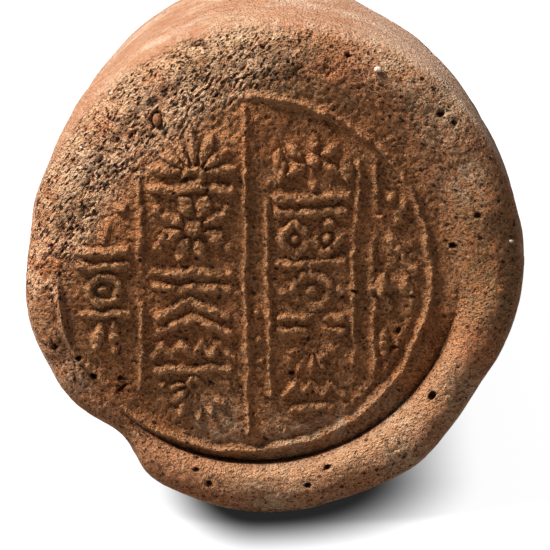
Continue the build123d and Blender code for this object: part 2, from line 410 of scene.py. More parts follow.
def normalsOf(surface, t, a, stepT, stepA):
    # cross product of the surface's two slopes, measured by small steps
    alongT = surface(t + stepT, a) - surface(t - stepT, a)
    alongA = surface(t, a + stepA) - surface(t, a - stepA)
    n = np.cross(alongT, alongA)
    return n / np.maximum(np.linalg.norm(n, axis=-1, keepdims=True), 1e-9)


# ---- coarse body ----


bodyGrid = {
    "around": 720, "wallRows": 5, "frontRows": 32, "rimRows": 20,
    "fineTo": 18.0, "fineStep": 0.5, "midTo": 66.0, "midStep": 1.2, "tailStep": 2.6, "tipRows": 7,
}


def bodyRing(angle):
    # the seam with the slab and the rim's inner circle at each angle
    rad = np.radians(angle)
    edge = slabOutline(angle) + creaseWidth(angle)
    inner = (cone["slabX"] + edge * np.cos(rad), cone["slabY"] + edge * np.sin(rad))
    reach = bodyRadius(angle, 0.0) - rimRound(angle)
    return inner, (reach * np.cos(rad), reach * np.sin(rad))


def rimStart(angle):
    _, (ox, oy) = bodyRing(angle)
    return levelled(ox, oy, frontDepth(ox, oy))


def bodySurface(t, angle):
    # one sheet over five lengths of t: seat floor, seat wall, front, rim, and the taper with its rounded tip
    rad = np.radians(angle)
    (ex, ey), (ox, oy) = bodyRing(angle)
    rho = rimRound(angle)
    share = np.clip(t - 2, 0, 1)
    x, y = ex + (ox - ex) * share, ey + (oy - ey) * share
    d = levelled(x, y, frontDepth(x, y))
    # floor and wall
    inner = np.clip(t, 0, 1)
    x = np.where(t < 1, cone["slabX"] + (ex - cone["slabX"]) * inner, x)
    y = np.where(t < 1, cone["slabY"] + (ey - cone["slabY"]) * inner, y)
    low = fieldDepth(x, y) + cone["slabThick"]
    top = levelled(ex, ey, frontDepth(ex, ey))
    d = np.where(t < 1, low, np.where(t < 2, low + (top - low) * np.clip(t - 1, 0, 1), d))
    # rim: a quarter turn
    edgeDepth = rimStart(angle)
    phi = np.clip(t - 3, 0, 1) * np.pi / 2
    rimD = edgeDepth + rho * (1 - np.cos(phi))
    rimR = bodyRadius(angle, rimD) - rho + rho * np.sin(phi)
    # taper and tip: t - 4 is the distance past the rim
    s = edgeDepth + rho + np.clip(t - 4, 0, None)
    tipStart = tailStation - cone["tailRound"]
    over = np.clip((s - tipStart) / cone["tailRound"], 0, 1)
    flankR = np.where(s > tipStart, bodyRadius(angle, tipStart) * np.sqrt(1 - over ** 2), bodyRadius(angle, s))
    r = np.where(t < 4, rimR, flankR)
    x = np.where(t > 3, r * np.cos(rad), x)
    y = np.where(t > 3, r * np.sin(rad), y)
    d = np.where(t > 3, np.where(t < 4, rimD, np.minimum(s, tailStation)), d)
    return np.stack([x, y, -d], axis=-1)


def bodyRings():
    # rings of one t each down to the taper's middle, then rings that even out to one station, then the tip
    g = bodyGrid
    n = g["around"]
    rows = [(0.4, n // 8), (0.8, n // 4), (1.0, n // 2)]
    rows += [(t, n) for t in 1 + np.linspace(0, 1, g["wallRows"] + 1)[1:]]
    rows += [(t, n) for t in 2 + np.linspace(0, 1, g["frontRows"] + 1)[1:]]
    rows += [(t, n) for t in 3 + np.linspace(0, 1, g["rimRows"] + 1)[1:]]
    rows += [(t, n) for t in 4 + np.arange(g["fineStep"], g["fineTo"], g["fineStep"])]
    rows += [(t, n // 2) for t in 4 + np.arange(g["fineTo"], g["midTo"], g["midStep"])]
    sizes = [c for _, c in rows]
    ts = [np.full(c, t) for t, c in rows]
    angles = [np.arange(c) * 360.0 / c for c in sizes]
    c = n // 4
    a = np.arange(c) * 360.0 / c
    start = rimStart(a) + rimRound(a)
    first = start + g["midTo"]
    reach = tailStation - cone["tailRound"]
    steps = int((reach - first.mean()) / g["tailStep"])
    for share in np.linspace(0, 1, steps + 1)[1:]:
        sizes.append(c); angles.append(a); ts.append(4 + first + (reach - first) * share - start)
    for share in np.arange(1, g["tipRows"]) / g["tipRows"]:
        sizes.append(c); angles.append(a); ts.append(4 + reach + cone["tailRound"] * np.sin(np.pi / 2 * share) - start)
    firsts = np.cumsum([0] + sizes)
    return [np.arange(firsts[k], firsts[k + 1]) for k in range(len(sizes))], np.concatenate(ts), np.concatenate(angles), firsts[-1]


def padded(values, more):
    return np.concatenate([values, np.zeros(more)])


rings, t, angle, count = bodyRings()
base = bodySurface(t, angle)
normal = normalsOf(bodySurface, t, angle, 0.02, 0.3)
xf, yf, depth = base[:, 0], base[:, 1], -base[:, 2]
rough, chaff, coarse, band, worn = shares(xf, yf, base)
ragged = 0.1 * softNoise(base, 5.0, 401) + 0.06 * softNoise(base, 1.8, 402)  # the worn front ends in a ragged line
leftSide = hill(angle, 172.0, 13.0)
onFront = 1 - rise(t + ragged - 0.3 * leftSide - 3 * leftSide * (t > 4), 3.5, 3.82)
wiped = 1 - onFront
rough = 0.1 + (rough - 0.1) * onFront
chaff = chaff * onFront
hidden = rise(t, 1.8, 2.0)
clay, hollow = clayHeight(base, rough, chaff, 0.3 + 0 * t)
# fingers drew the wet flank round, which left low ridges along the turn
rolled = np.stack([angle / 9.0, depth / 1.3, np.zeros_like(depth)], axis=-1)
clay = clay + wiped * (0.1 * softNoise(rolled, 1.0, 5) + 0.06 * softNoise(rolled * [1, 2.2, 1], 1.0, 6))
voids = singleVoids(xf, yf) * (t > 2) * (t < 4)
proud = 0.16 - 0.06 * rise(t, 3, 3.6)
clay = np.where(clay > 0, proud * np.tanh(clay / proud), clay)  # worn down: it is pitted and nothing stands proud
clay = clay * (1 - 0.3 * rise(t, 3.2, 3.7))
flatPlace = np.stack([xf, yf, -fieldDepth(xf, yf)], axis=-1)
ringRidge = ridged(ringGapAt(xf, yf, flatPlace)[2], 0.8) * (t > 2) * (1 - rise(t, 3.0, 3.4)) * (1 - rise(worn, 0.25, 1.0))
height = hidden * (dents(base) * (1 - 0.55 * rise(t, 3, 4)) + clay - voids + 0.85 * ringRidge)
along = rise(t, 2.3, 3.0)[:, None]
direction = normal * along + np.array([0, 0, 1.0]) * (1 - along)
points = base + direction * height[:, None]
hollow = np.clip(hollow + voids, 0, 1.4) * hidden

world = toFrame(points[:, 0], points[:, 1], -points[:, 2])
world[:, 2] = 0.5 * (world[:, 2] + np.sqrt(world[:, 2] ** 2 + (0.12 * mm) ** 2))  # pressed flat while it dried
pole = toFrame(np.array([0.0]), np.array([0.0]), np.array([tailStation]))
seatX, seatY = np.array([cone["slabX"]]), np.array([cone["slabY"]])
floorPole = toFrame(seatX, seatY, fieldDepth(seatX, seatY) + cone["slabThick"])
world = np.concatenate([world, pole, floorPole])
quads, tris = [], []
for a, b in zip(rings[:-1], rings[1:]):
    if len(a) == len(b):
        quads.append(sewRings(a, b))
    elif len(a) > len(b):
        tris.append(sewRings(a, b))
    else:
        tris.append(sewRings(b, a)[:, ::-1])
tipRing, floorRing = rings[-1], rings[0]
tris.append(np.stack([tipRing, np.roll(tipRing, -1), np.full(len(tipRing), count)], 1))
tris.append(np.stack([np.roll(floorRing, -1), floorRing, np.full(len(floorRing), count + 1)], 1))
body = newPiece("coneBody", world, [np.concatenate(quads), np.concatenate(tris)], {
    "hollow": padded(hollow, 2), "rough": padded(rough * hidden, 2), "wiped": padded(wiped, 2),
    # painted shade: on the right rim, which faces away from the key lamp, the coarse share is cut so that the darker
    # fine-clay colour shows there
    "coarse": padded(np.where(t > 3, 1.0, coarse) * (1 - 0.8 * hill(angle, 3.0, 26.0) * (1 - rise(t, 3.2, 4.0))), 2),
    "band": padded(band * (t < 3.6), 2),
    "worn": padded(worn * onFront, 2), "crest": padded(ringRidge, 2),
    "station": padded(np.clip(t - 4, 0, 200) / 170.0, 2), "turn": padded(angle / 360.0, 2),
    "olive": padded(stainAt("olive", xf, yf, base) * onFront, 2), "ruddy": padded(stainAt("ruddy", xf, yf, base) * onFront, 2),
    "dusty": padded(stainAt("dusty", xf, yf, base) * (1 - rise(t, 4.5, 16)), 2),
}, world[:, 1] * 0 + padded((t < 2.001).astype(float), 2))

# ---- stamped slab ----


stampRelief = {
    "height": 0.9, "ruleHalf": 0.7, "borderHalf": 0.8,
    "rules": [(-17.0, -18.5, 19.5), (-0.3, -26.5, 28.0), (3.2, -20.0, 12.5), (17.3, -15.5, 18.5), (20.3, -17.0, 22.0)],
}


def domed(distance, half):
    return np.sqrt(np.clip(1 - (distance / half) ** 2, 0, 1))  # half round in section, 0 past its half width


def toLine(x, y, ax, ay, bx, by):
    # distance from a place to a straight piece
    dx, dy = bx - ax, by - ay
    k = np.clip(((x - ax) * dx + (y - ay) * dy) / (dx * dx + dy * dy + 1e-9), 0, 1)
    return np.hypot(x - ax - k * dx, y - ay - k * dy)


def strokes(x, y, lines, half):
    # the highest of a number of straight domed strokes
    return np.maximum.reduce([domed(toLine(x, y, *line), half) for line in lines])


def hoop(x, y, cx, cy, radius, half):
    return domed(np.hypot(x - cx, y - cy) - radius, half)


def button(x, y, cx, cy, radius):
    return domed(np.hypot(x - cx, y - cy), radius)


def leaf(x, y, cx, cy, lean, long, wide):
    # pointed oval from its foot at cx, cy: its half width follows half a sine wave along its length
    c, s = np.cos(np.radians(lean)), np.sin(np.radians(lean))
    u = ((x - cx) * c + (y - cy) * s) / long
    v = -(x - cx) * s + (y - cy) * c
    swell = wide * np.sin(np.pi * np.clip(u, 0, 1)) ** 0.7
    return np.sqrt(np.clip(1 - (v / np.maximum(swell, 1e-3)) ** 2, 0, 1)) * (u > 0) * (u < 1)


def flower(x, y, cx, cy, size, petals, start=0.0):
    # petals round a button, each starting a third of the way out
    turns = np.radians(start + 360.0 * np.arange(petals) / petals)
    parts = [leaf(x, y, cx + 0.3 * size * np.cos(a), cy + 0.3 * size * np.sin(a), np.degrees(a), 0.72 * size, 0.21 * size) for a in turns]
    return np.maximum.reduce(parts + [button(x, y, cx, cy, 0.24 * size)])


def fan(x, y, cx, cy, size, up=1.0):
    # seven leaves spread over a half turn above a small hoop, the middle ones longest
    leans = np.array([-78, -52, -26, 0, 26, 52, 78])
    parts = [leaf(x, y, cx + 0.24 * size * np.cos(np.radians(90 * up + a)), cy + 0.24 * size * np.sin(np.radians(90 * up + a)),
                  90 * up + a, size * (0.78 - 0.0024 * abs(a)), 0.12 * size) for a in leans]
    return np.maximum.reduce(parts + [hoop(x, y, cx, cy, 0.15 * size, 0.1 * size)])


def zigzag(x, y, left, right, low, high, teeth, half):
    # one broken line that climbs and falls once for each tooth
    xs = np.linspace(left, right, 2 * teeth + 1)
    ys = np.where(np.arange(2 * teeth + 1) % 2 == 0, low, high)
    return strokes(x, y, list(zip(xs[:-1], ys[:-1], xs[1:], ys[1:])), half)


def lozenge(x, y, cx, cy, wide, tall, half):
    return strokes(x, y, [(cx - wide, cy, cx, cy + tall), (cx, cy + tall, cx + wide, cy),
                          (cx + wide, cy, cx, cy - tall), (cx, cy - tall, cx - wide, cy)], half)


def ornament(x, y):
    # upright rules, and between them generic bands of flowers, fans, chevrons, lozenges, hoops, leaves and bars
    parts = [ridged(toLine(x, y, at, low, at, high), stampRelief["ruleHalf"]) for at, low, high in stampRelief["rules"]]
    left = [
        fan(x, y, -8.7, 16.4, 8.6), strokes(x, y, [(-14.8, 14.2, -2.6, 14.4)], 0.85), flower(x, y, -8.7, 8.0, 5.6, 8, 22.5),
        button(x, y, -14.2, 10.8, 0.9), button(x, y, -3.2, 10.9, 0.9), button(x, y, -14.2, 5.0, 0.9), button(x, y, -3.2, 5.0, 0.9),
        strokes(x, y, [(-14.8, 0.8, -2.6, 0.6), (-14.6, -1.7, -2.8, -1.9)], 0.85),
        strokes(x, y, [(-14.2, -6.6, -8.7, -3.9), (-8.7, -3.9, -3.2, -6.6), (-14.2, -9.2, -8.7, -6.5), (-8.7, -6.5, -3.2, -9.2)], 0.8),
        zigzag(x, y, -15.0, -2.6, -13.2, -10.9, 4, 0.7), strokes(x, y, [(-14.4, -15.6, -3.0, -15.6)], 0.85),
        fan(x, y, -8.6, -18.0, 6.6, -1.0), button(x, y, -13.6, -18.2, 0.9), button(x, y, -3.6, -18.2, 0.9),
    ]
    middle = [
        flower(x, y, 10.3, 19.2, 4.6, 6, 30.0), leaf(x, y, 5.2, 15.2, 90, 6.0, 1.1), leaf(x, y, 15.4, 15.2, 90, 5.0, 1.1),
        strokes(x, y, [(5.0, 13.2, 15.4, 13.2), (5.2, 10.7, 15.2, 10.5)], 0.85),
        lozenge(x, y, 7.7, 6.4, 2.5, 2.7, 0.75), lozenge(x, y, 12.9, 6.4, 2.5, 2.7, 0.75),
        button(x, y, 7.7, 6.4, 0.8), button(x, y, 12.9, 6.4, 0.8), strokes(x, y, [(5.0, 2.2, 15.4, 2.3)], 0.85),
        hoop(x, y, 10.2, -2.2, 3.0, 0.8), button(x, y, 10.2, -2.2, 1.2), button(x, y, 5.7, -2.2, 0.9), button(x, y, 14.8, -2.2, 0.9),
        strokes(x, y, [(5.2, -6.8, 15.2, -6.9), (5.2, -9.2, 15.2, -9.2)], 0.8), fan(x, y, 10.2, -11.6, 5.6, -1.0),
        zigzag(x, y, 5.4, 15.0, -20.2, -18.4, 3, 0.7), strokes(x, y, [(7.4, -22.6, 13.0, -22.4)], 0.75),
    ]
    outer = [
        strokes(x, y, [(-26.0, 11.0, -19.6, 11.2), (-26.6, 4.2, -19.2, 4.2), (-26.8, 1.8, -19.2, 1.8)], 0.75),
        leaf(x, y, -22.8, 5.2, 90, 5.6, 1.2), hoop(x, y, -22.8, -2.2, 2.2, 0.75), button(x, y, -22.8, -2.2, 0.8),
        strokes(x, y, [(-26.2, -6.2, -19.2, -6.2)], 0.75), leaf(x, y, -24.4, -12.6, 84, 5.6, 1.1), leaf(x, y, -21.0, -12.8, 96, 5.8, 1.1),
        strokes(x, y, [(20.9, 9.2, 27.0, 0.6), (21.2, -2.2, 24.6, -7.8)], 0.85),
        leaf(x, y, 23.6, 7.8, 66, 6.2, 1.2), leaf(x, y, 22.2, 0.8, -96, 5.0, 1.1), leaf(x, y, 25.6, 0.0, -84, 5.8, 1.2),
        button(x, y, 22.8, 12.8, 1.0), leaf(x, y, 22.0, -9.0, -90, 5.4, 1.1), button(x, y, 25.2, -9.6, 0.9),
        button(x, y, 1.5, -6.0, 0.6), button(x, y, 1.5, -10.0, 0.6), button(x, y, 1.5, -14.0, 0.6),
    ]
    return np.maximum.reduce(parts + left + middle + outer)


slabGrid = {"across": 296, "sideRows": 4, "overlap": 0.12}


def discPlace(u, v):
    # a square of unit half width wrapped ring by ring: the share of the way out, and the angle
    r = np.maximum(np.abs(u), np.abs(v))
    wide = np.abs(u) >= np.abs(v)
    a = np.where(wide, np.pi / 4 * v / np.where(u == 0, 1, u), np.pi / 2 - np.pi / 4 * u / np.where(v == 0, 1, v))
    a = a + np.pi * ((wide & (u < 0)) | (~wide & (v < 0)))
    return r, np.degrees(np.where(r == 0, 0, a)) % 360


n = slabGrid["across"]
line = np.linspace(-1, 1, n + 1)
u, v = np.meshgrid(line, line, indexing="ij")
share, around = discPlace(u.ravel(), v.ravel())
edge = slabOutline(around) + slabGrid["overlap"] * (1 - jointShare(around))
sx = cone["slabX"] + edge * share * np.cos(np.radians(around))
sy = cone["slabY"] + edge * share * np.sin(np.radians(around))
flatPoint = np.stack([sx, sy, -fieldDepth(sx, sy)], axis=-1)
px, py, ringGap = ringGapAt(sx, sy, flatPoint)
wear = rise(0.8 * softNoise(flatPoint, 7.0, 85) + 0.5 * softNoise(flatPoint, 2.2, 86) + 0.85, 0.0, 0.8)
inside = 1 - rise(ringGap, -1.7, -0.7)
fray = np.stack([softNoise(flatPoint, 1.1, 91), softNoise(flatPoint, 1.1, 92)], -1) * 0.22  # frayed edges
pattern = ornament(px + fray[:, 0], py + fray[:, 1]) * (0.14 + 0.86 * wear) * inside
border = ridged(ringGap, stampRelief["borderHalf"]) * (0.75 + 0.25 * wear) * (1 - 0.35 * hill(around, 90.0, 30.0))
second = 0.5 * domed(ringGap + 2.3, 0.7) * hill(around, 322.0, 30.0) * wear
relief = stampRelief["height"] * np.maximum.reduce([0.92 * pattern, border, second])
relief = relief * (1 + 0.3 * softNoise(flatPoint, 1.5, 89) + 0.26 * softNoise(flatPoint, 0.7, 90))
sunk = 0.25 * rise(ringGap, -3.6, -1.2) * (1 - rise(ringGap, -1.2, 0.3))
uneven = 0.4 * softNoise(flatPoint, 16.0, 87) + 0.22 * softNoise(flatPoint, 7.0, 88)
surfacePoint = np.stack([sx, sy, -levelled(sx, sy, frontDepth(sx, sy))], axis=-1)
slabRough, slabChaff, slabCoarse, _, slabWorn = shares(sx, sy, surfacePoint)
kept = 1 - rise(slabWorn, 0.25, 1.0)
topDepth = levelled(sx, sy, frontDepth(sx, sy) + (sunk - uneven * inside) * kept) - relief * kept
clay, slabHollowShade = clayHeight(surfacePoint, slabRough, slabChaff, 0.3 + 0.7 * (1 - slabCoarse))
clay = np.where(clay > 0, 0.16 * np.tanh(clay / 0.16), clay)
bigVoids = singleVoids(sx, sy)
topDepth = topDepth - clay + bigVoids - dents(surfacePoint) * np.maximum(slabCoarse, 0.15)
topWorld = toFrame(sx, sy, topDepth)

index = np.arange((n + 1) * (n + 1)).reshape(n + 1, n + 1)
topQuads = np.stack([index[:-1, :-1], index[1:, :-1], index[1:, 1:], index[:-1, 1:]], -1).reshape(-1, 4)
border = np.concatenate([index[:-1, 0], index[-1, :-1], index[:0:-1, -1], index[0, :0:-1]])
chunks, sideRings, total = [topWorld], [border], len(topWorld)
edgeX, edgeY = sx[border], sy[border]
backDepth = fieldDepth(edgeX, edgeY) + cone["slabThick"]
for part in np.linspace(0, 1, slabGrid["sideRows"] + 1)[1:]:
    chunks.append(toFrame(edgeX, edgeY, topDepth[border] + (backDepth - topDepth[border]) * part))
    sideRings.append(np.arange(total, total + len(border)))
    total += len(border)
backTris, ringNow, pick = [], sideRings[-1], np.arange(len(border))
for shrink in (0.8, 0.55, 0.3):
    pick = pick[::2]
    bx = cone["slabX"] + (edgeX[pick] - cone["slabX"]) * shrink
    by = cone["slabY"] + (edgeY[pick] - cone["slabY"]) * shrink
    chunks.append(toFrame(bx, by, fieldDepth(bx, by) + cone["slabThick"]))
    ringNext = np.arange(total, total + len(pick))
    total += len(pick)
    backTris.append(sewRings(ringNow, ringNext))
    ringNow = ringNext
chunks.append(floorPole)
backTris.append(np.stack([ringNow, np.roll(ringNow, -1), np.full(len(ringNow), total)], 1))
total += 1
sides = [sewRings(a, b) for a, b in zip(sideRings[:-1], sideRings[1:])]
extra = total - len(topWorld)
slabHollowShade = np.clip(slabHollowShade + bigVoids, 0, 1.4)
flatMark = np.concatenate([np.zeros(len(topWorld)), np.ones(extra)])
flatMark[border] = 1.0
slab = newPiece("faceSlab", np.concatenate(chunks), [topQuads, np.concatenate(sides), np.concatenate(backTris)], {
    "hollow": padded(slabHollowShade, extra), "rough": padded(slabRough, extra), "wiped": padded(0 * sx, extra),
    "coarse": padded(slabCoarse, extra), "band": padded(0 * sx, extra), "worn": padded(slabWorn, extra),
    "crest": padded(np.clip(relief, 0, 1) * kept, extra),
    "station": padded(0 * sx, extra), "turn": padded(0 * sx, extra),
    "olive": padded(stainAt("olive", sx, sy, surfacePoint), extra), "ruddy": padded(stainAt("ruddy", sx, sy, surfacePoint), extra),
    "dusty": padded(stainAt("dusty", sx, sy, surfacePoint), extra),
}, flatMark)

# ---- stones ----


def pebbleShape(name, places, seed):
    # a ball of long and round lines for each place, scaled to its three half sizes and dented by soft noise
    rows, columns = 18, 28
    verts, faces = [], []
    for number, (x, y, d, sizeX, sizeY, sizeZ) in enumerate(places):
        tilt, turn = np.meshgrid(np.linspace(0, np.pi, rows + 1)[1:-1], np.arange(columns) * 2 * np.pi / columns, indexing="ij")
        ball = np.stack([np.sin(tilt) * np.cos(turn), np.sin(tilt) * np.sin(turn), np.cos(tilt)], -1).reshape(-1, 3)
        ball = np.concatenate([ball, [[0, 0, 1.0], [0, 0, -1.0]]])
        dent = 1 + 0.13 * softNoise(ball + 9.1 * number, 0.7, seed) + 0.05 * softNoise(ball + 4.0, 0.3, seed + 1)
        p = ball * dent[:, None] * [sizeX, sizeY, sizeZ]
        verts.append(toFrame(x + p[:, 0], y + p[:, 1], d - p[:, 2]))
        first = number * len(ball)
        grid = first + np.arange((rows - 1) * columns).reshape(rows - 1, columns)
        bands = np.concatenate([np.stack([grid[k], grid[k + 1], np.roll(grid[k + 1], -1), np.roll(grid[k], -1)], 1) for k in range(rows - 2)])
        top, bottom = first + len(ball) - 2, first + len(ball) - 1
        caps = np.concatenate([np.stack([grid[0], np.roll(grid[0], -1), np.full(columns, top)], 1),
                               np.stack([np.roll(grid[-1], -1), grid[-1], np.full(columns, bottom)], 1)])
        faces.append((bands, caps))
    quadsOf = np.concatenate([f[0] for f in faces])
    trisOf = np.concatenate([f[1] for f in faces])
    return newPiece(name, np.concatenate(verts), [quadsOf, trisOf], {})


def clayDepth(x, y):
    # depth of the front at a place, without its grain
    r = np.hypot(x, y)
    rho = cone["rimRound"]
    past = max(r - (cone["girth"] - rho), 0)
    rim = rho - np.sqrt(max(rho ** 2 - past ** 2, 0))
    return max(rim, float(wornDepth(x, y)))


pebble = pebbleShape("darkPebble", [(*pebblePlace, clayDepth(*pebblePlace) + 0.05, *pebbleHalf, 0.85)], 91)
gritPlaces = [(-26.1, 28.1, 0.34), (16.0, 32.8, 0.6), (37.4, 4.8, 0.32), (9.5, -36.2, 0.3), (-31.0, 19.5, 0.26)]
grits = pebbleShape("limeGrits", [(x, y, clayDepth(x, y) + 0.25 * s + 0.12, s, s * 0.75, s * 0.8) for x, y, s in gritPlaces], 95)

# ---- finishes ----


def nodesFor(name):
    material = bpy.data.materials.new(name)
    material.use_nodes = True
    tree = material.node_tree
    tree.nodes.clear()
    out = tree.nodes.new("ShaderNodeOutputMaterial")
    shader = tree.nodes.new("ShaderNodeBsdfPrincipled")
    tree.links.new(shader.outputs["BSDF"], out.inputs["Surface"])
    return material, tree, shader


def putIn(tree, socket, value):
    if isinstance(value, bpy.types.NodeSocket):
        tree.links.new(value, socket)
    else:
        socket.default_value = value


def mixed(tree, factor, first, second, how="MIX"):
    node = tree.nodes.new("ShaderNodeMix")
    node.data_type = "RGBA"
    node.blend_type = how
    node.clamp_factor = True
    putIn(tree, node.inputs[0], factor)
    putIn(tree, node.inputs[6], first if isinstance(first, bpy.types.NodeSocket) else (*first, 1.0))
    putIn(tree, node.inputs[7], second if isinstance(second, bpy.types.NodeSocket) else (*second, 1.0))
    return node.outputs[2]


def sums(tree, how, first, second=0.0):
    node = tree.nodes.new("ShaderNodeMath")
    node.operation = how
    putIn(tree, node.inputs[0], first)
    putIn(tree, node.inputs[1], second)
    return node.outputs[0]


def ranged(tree, value, low, high, toLow=0.0, toHigh=1.0):
    node = tree.nodes.new("ShaderNodeMapRange")
    node.interpolation_type = "SMOOTHSTEP"
    putIn(tree, node.inputs["Value"], value)
    for socket, number in (("From Min", low), ("From Max", high), ("To Min", toLow), ("To Max", toHigh)):
        node.inputs[socket].default_value = number
    return node.outputs["Result"]


def noiseOf(tree, where, size, detail=3.0, roughness=0.55, distortion=0.0):
    node = tree.nodes.new("ShaderNodeTexNoise")
    tree.links.new(where, node.inputs["Vector"])
    node.inputs["Scale"].default_value = 1.0 / (size * mm)
    node.inputs["Detail"].default_value = detail
    node.inputs["Roughness"].default_value = roughness
    node.inputs["Distortion"].default_value = distortion
    return node.outputs["Fac"]


def bentSpace(tree, where, size, amount):
    # the place shifted by a noise of its own, so that nothing laid out in it is straight or round
    noise = tree.nodes.new("ShaderNodeTexNoise")
    tree.links.new(where, noise.inputs["Vector"])
    noise.inputs["Scale"].default_value = 1.0 / (size * mm)
    noise.inputs["Detail"].default_value = 2.0
    node = tree.nodes.new("ShaderNodeVectorMath")
    node.operation = "MULTIPLY_ADD"
    tree.links.new(noise.outputs["Color"], node.inputs[0])
    node.inputs[1].default_value = (amount * mm,) * 3
    tree.links.new(where, node.inputs[2])
    return node.outputs[0]


def stretched(tree, where, lieAngle, squeeze):
    # the space turned about the frame's depth and squeezed along one way, so that marks in it lie that way
    node = tree.nodes.new("ShaderNodeMapping")
    node.vector_type = "TEXTURE"
    node.inputs["Rotation"].default_value = (0.0, -np.radians(lieAngle), 0.0)
    node.inputs["Scale"].default_value = (1 / squeeze, 1.0, 1.0)
    tree.links.new(where, node.inputs["Vector"])
    return node.outputs[0]


def pitsOf(tree, where, size, share, inner, outer):
    # a hollow about the middle of a share of the cells: 1 inside the inner radius, 0 past the outer one
    node = tree.nodes.new("ShaderNodeTexVoronoi")
    tree.links.new(where, node.inputs["Vector"])
    node.inputs["Scale"].default_value = 1.0 / (size * mm)
    split = tree.nodes.new("ShaderNodeSeparateColor")
    tree.links.new(node.outputs["Color"], split.inputs[0])
    chosen = ranged(tree, split.outputs[0], share - 0.03, share + 0.03, 1.0, 0.0)
    return sums(tree, "MULTIPLY", ranged(tree, node.outputs["Distance"], inner, outer, 1.0, 0.0), chosen)


def weighted(tree, parts):
    # the sum of values times their weights
    total = None
    for value, weight in parts:
        part = sums(tree, "MULTIPLY", value, weight)
        total = part if total is None else sums(tree, "ADD", total, part)
    return total


def valueOf(tree, name):
    node = tree.nodes.new("ShaderNodeAttribute")
    node.attribute_name = name
    return node.outputs["Fac"]


def bumped(tree, height, distance, strength=1.0, normal=None):
    node = tree.nodes.new("ShaderNodeBump")
    node.inputs["Strength"].default_value = strength
    node.inputs["Distance"].default_value = distance * mm
    tree.links.new(height, node.inputs["Height"])
    if normal:
        tree.links.new(normal, node.inputs["Normal"])
    return node.outputs["Normal"]


clay = {
    "coarseDark": (0.19, 0.068, 0.024), "coarseMid": (0.49, 0.22, 0.102), "coarseRed": (0.53, 0.2, 0.08),
    "fineDark": (0.14, 0.05, 0.016), "fineMid": (0.54, 0.225, 0.084), "fineRed": (0.58, 0.215, 0.075), "fineCrest": (0.62, 0.3, 0.13),
    "pale": (0.78, 0.45, 0.25), "dust": (0.62, 0.4, 0.24), "olive": (0.25, 0.15, 0.07), "ruddy": (0.54, 0.17, 0.06),
    "band": (0.5, 0.26, 0.13), "slip": (0.47, 0.24, 0.14), "slipPale": (0.62, 0.4, 0.26), "slipCream": (0.76, 0.57, 0.42),
    # the near-black of the pits and hollows is painted shade
    "hole": (0.045, 0.015, 0.006),
}


